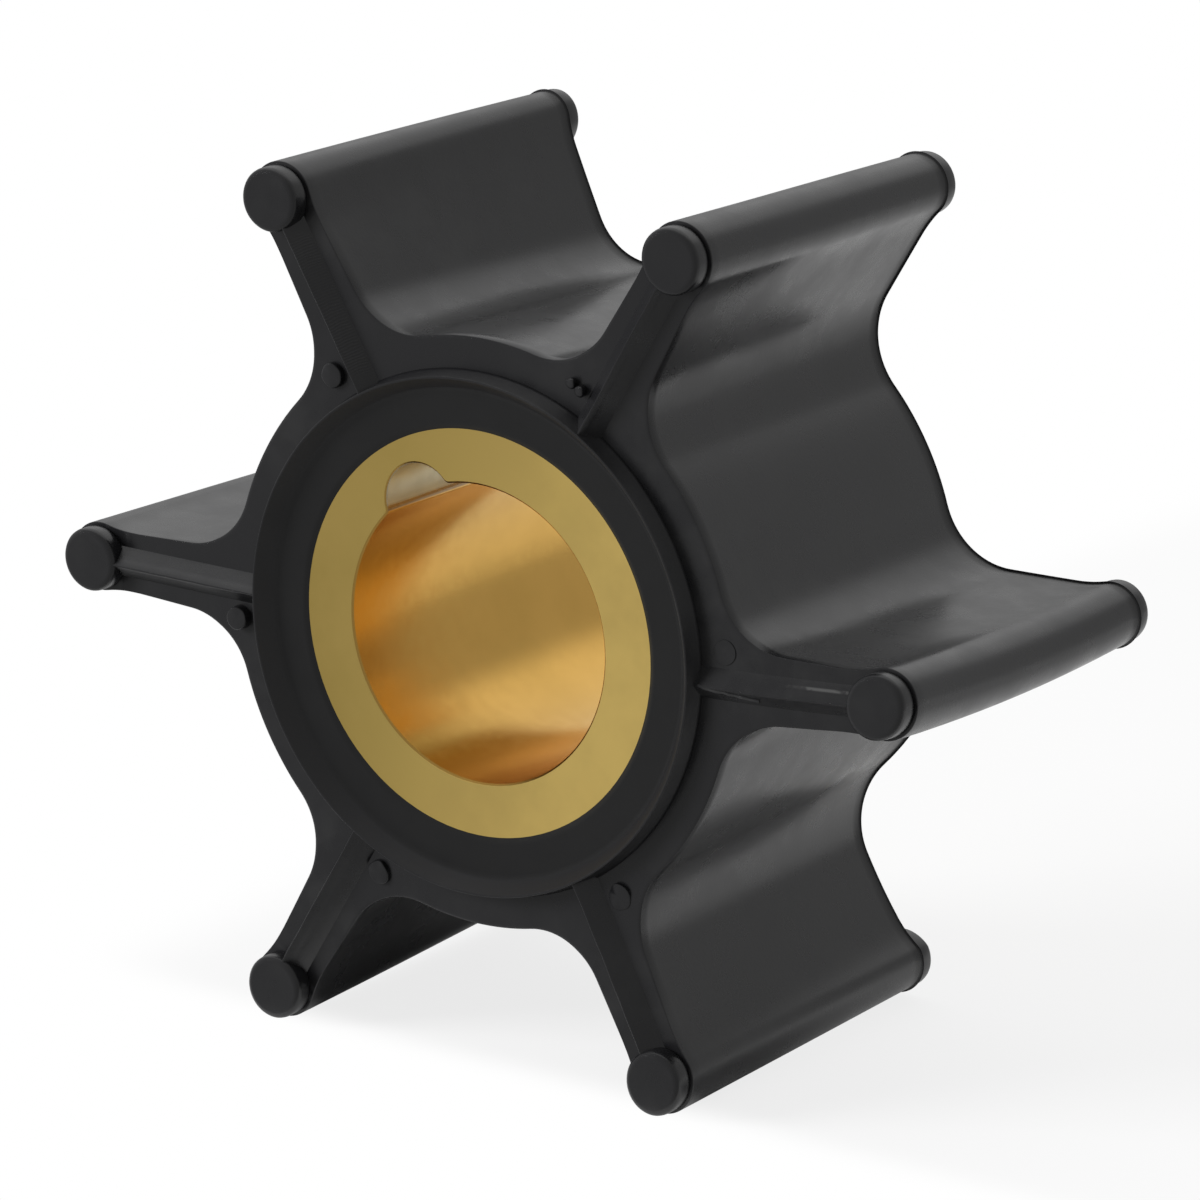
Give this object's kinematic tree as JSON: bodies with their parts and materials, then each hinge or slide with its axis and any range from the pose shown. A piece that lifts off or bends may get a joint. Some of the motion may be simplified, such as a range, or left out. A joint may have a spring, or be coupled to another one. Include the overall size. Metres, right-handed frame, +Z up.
{
  "type": "rubber pump impeller",
  "caption": "Flexible rubber vane impeller bonded round a keyed brass bush, with round-ended vane tips and a raised sealing collar on each face.",
  "frame": {"origin": "middle of the bush's bore, half way along its length", "axes": "+Y along the shaft axis towards the back face, +X to the right seen from the front, +Z up; one vane points along +X"},
  "size_m": [0.0504, 0.023, 0.0442],
  "materials": {
    "bush": "machined, satin",
    "rubber": "moulded, satin black"
  },
  "bodies": {
    "root": {"bush": "bush", "rubber_rotor": "rubber"}
  },
  "joints": []
}
